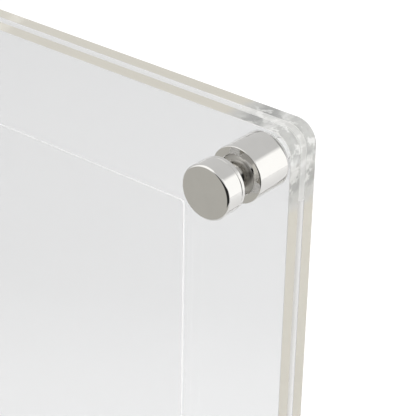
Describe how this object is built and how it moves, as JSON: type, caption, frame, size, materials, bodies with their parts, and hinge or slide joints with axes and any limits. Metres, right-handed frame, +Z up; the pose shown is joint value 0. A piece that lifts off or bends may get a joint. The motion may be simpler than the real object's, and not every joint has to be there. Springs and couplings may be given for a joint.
{
  "type": "acrylic photo frame",
  "caption": "Clear double-sheet wall photo frame with a clear print sleeve and polished corner posts that hold it off the wall.",
  "frame": {"origin": "on the wall plane, at the centre of the sheets", "axes": "+Z up, front faces -Y, +Y into the wall, +X to the right seen from the front"},
  "size_m": [0.262, 0.029, 0.306],
  "materials": {
    "acrylic": "clear cast acrylic with polished edges",
    "sleeve_film": "clear stiff film, lightly glossy",
    "polished_nickel": "polished nickel plate",
    "soft_clear_rings": "clear moulded plastic"
  },
  "bodies": {
    "rear_panel": {"rear_sheet": "acrylic", "spacer_top_left": "soft_clear_rings", "spacer_top_right": "soft_clear_rings", "spacer_bottom_left": "soft_clear_rings", "spacer_bottom_right": "soft_clear_rings", "gasket_top_left": "soft_clear_rings", "gasket_top_right": "soft_clear_rings", "gasket_bottom_left": "soft_clear_rings", "gasket_bottom_right": "soft_clear_rings", "barrel_top_left": "polished_nickel", "barrel_top_right": "polished_nickel", "barrel_bottom_left": "polished_nickel", "barrel_bottom_right": "polished_nickel"},
    "front_panel": {"front_sheet": "acrylic"},
    "sleeve": {"sleeve_back_film": "sleeve_film", "sleeve_bottom_strip": "sleeve_film", "sleeve_right_strip": "sleeve_film", "sleeve_left_strip": "sleeve_film", "sleeve_front_film": "sleeve_film"},
    "cap_washer_top_left": {"cap_washer_top_left": "soft_clear_rings"},
    "cap_screw_top_left": {"cap_screw_top_left": "polished_nickel"},
    "hanger_collar_top_left": {"hanger_collar_top_left": "polished_nickel"},
    "hanger_screw_top_left": {"hanger_screw_top_left": "polished_nickel"},
    "cap_washer_top_right": {"cap_washer_top_right": "soft_clear_rings"},
    "cap_screw_top_right": {"cap_screw_top_right": "polished_nickel"},
    "hanger_collar_top_right": {"hanger_collar_top_right": "polished_nickel"},
    "hanger_screw_top_right": {"hanger_screw_top_right": "polished_nickel"},
    "cap_washer_bottom_left": {"cap_washer_bottom_left": "soft_clear_rings"},
    "cap_screw_bottom_left": {"cap_screw_bottom_left": "polished_nickel"},
    "hanger_collar_bottom_left": {"hanger_collar_bottom_left": "polished_nickel"},
    "hanger_screw_bottom_left": {"hanger_screw_bottom_left": "polished_nickel"},
    "cap_washer_bottom_right": {"cap_washer_bottom_right": "soft_clear_rings"},
    "cap_screw_bottom_right": {"cap_screw_bottom_right": "polished_nickel"},
    "hanger_collar_bottom_right": {"hanger_collar_bottom_right": "polished_nickel"},
    "hanger_screw_bottom_right": {"hanger_screw_bottom_right": "polished_nickel"}
  },
  "joints": [
    {"name": "front_sheet_slide", "type": "slide", "parent": "rear_panel", "child": "front_panel", "axis": [0, -1, 0], "range_m": [0, 0.03]},
    {"name": "sleeve_lift", "type": "slide", "parent": "rear_panel", "child": "sleeve", "axis": [0, 0, 1], "range_m": [0, 0.25]},
    {"name": "cap_travel_top_left", "type": "slide", "parent": "front_panel", "child": "cap_washer_top_left", "axis": [0, -1, 0], "range_m": [0, 0.0042]},
    {"name": "cap_turn_top_left", "type": "hinge", "parent": "cap_washer_top_left", "child": "cap_screw_top_left", "pos_m": [-0.1248, -0.0271, 0.1465], "axis": [0, -1, 0], "range_deg": [0, 2165]},
    {"name": "hanger_travel_top_left", "type": "slide", "parent": "rear_panel", "child": "hanger_collar_top_left", "axis": [0, 1, 0], "range_m": [0, 0.0035]},
    {"name": "hanger_turn_top_left", "type": "hinge", "parent": "hanger_collar_top_left", "child": "hanger_screw_top_left", "pos_m": [-0.1248, 0, 0.1465], "axis": [0, 1, 0], "range_deg": [0, 1805]},
    {"name": "cap_travel_top_right", "type": "slide", "parent": "front_panel", "child": "cap_washer_top_right", "axis": [0, -1, 0], "range_m": [0, 0.0042]},
    {"name": "cap_turn_top_right", "type": "hinge", "parent": "cap_washer_top_right", "child": "cap_screw_top_right", "pos_m": [0.1248, -0.0271, 0.1465], "axis": [0, -1, 0], "range_deg": [0, 2165]},
    {"name": "hanger_travel_top_right", "type": "slide", "parent": "rear_panel", "child": "hanger_collar_top_right", "axis": [0, 1, 0], "range_m": [0, 0.0035]},
    {"name": "hanger_turn_top_right", "type": "hinge", "parent": "hanger_collar_top_right", "child": "hanger_screw_top_right", "pos_m": [0.1248, 0, 0.1465], "axis": [0, 1, 0], "range_deg": [0, 1805]},
    {"name": "cap_travel_bottom_left", "type": "slide", "parent": "front_panel", "child": "cap_washer_bottom_left", "axis": [0, -1, 0], "range_m": [0, 0.0042]},
    {"name": "cap_turn_bottom_left", "type": "hinge", "parent": "cap_washer_bottom_left", "child": "cap_screw_bottom_left", "pos_m": [-0.1248, -0.0271, -0.1465], "axis": [0, -1, 0], "range_deg": [0, 2165]},
    {"name": "hanger_travel_bottom_left", "type": "slide", "parent": "rear_panel", "child": "hanger_collar_bottom_left", "axis": [0, 1, 0], "range_m": [0, 0.0035]},
    {"name": "hanger_turn_bottom_left", "type": "hinge", "parent": "hanger_collar_bottom_left", "child": "hanger_screw_bottom_left", "pos_m": [-0.1248, 0, -0.1465], "axis": [0, 1, 0], "range_deg": [0, 1805]},
    {"name": "cap_travel_bottom_right", "type": "slide", "parent": "front_panel", "child": "cap_washer_bottom_right", "axis": [0, -1, 0], "range_m": [0, 0.0042]},
    {"name": "cap_turn_bottom_right", "type": "hinge", "parent": "cap_washer_bottom_right", "child": "cap_screw_bottom_right", "pos_m": [0.1248, -0.0271, -0.1465], "axis": [0, -1, 0], "range_deg": [0, 2165]},
    {"name": "hanger_travel_bottom_right", "type": "slide", "parent": "rear_panel", "child": "hanger_collar_bottom_right", "axis": [0, 1, 0], "range_m": [0, 0.0035]},
    {"name": "hanger_turn_bottom_right", "type": "hinge", "parent": "hanger_collar_bottom_right", "child": "hanger_screw_bottom_right", "pos_m": [0.1248, 0, -0.1465], "axis": [0, 1, 0], "range_deg": [0, 1805]}
  ],
  "couplings": [
    {"joint": "cap_turn_top_left", "follows": "cap_travel_top_left", "rad_per_m": 8976},
    {"joint": "hanger_turn_top_left", "follows": "hanger_travel_top_left", "rad_per_m": 8976},
    {"joint": "cap_turn_top_right", "follows": "cap_travel_top_right", "rad_per_m": 8976},
    {"joint": "hanger_turn_top_right", "follows": "hanger_travel_top_right", "rad_per_m": 8976},
    {"joint": "cap_turn_bottom_left", "follows": "cap_travel_bottom_left", "rad_per_m": 8976},
    {"joint": "hanger_turn_bottom_left", "follows": "hanger_travel_bottom_left", "rad_per_m": 8976},
    {"joint": "cap_turn_bottom_right", "follows": "cap_travel_bottom_right", "rad_per_m": 8976},
    {"joint": "hanger_turn_bottom_right", "follows": "hanger_travel_bottom_right", "rad_per_m": 8976}
  ]
}
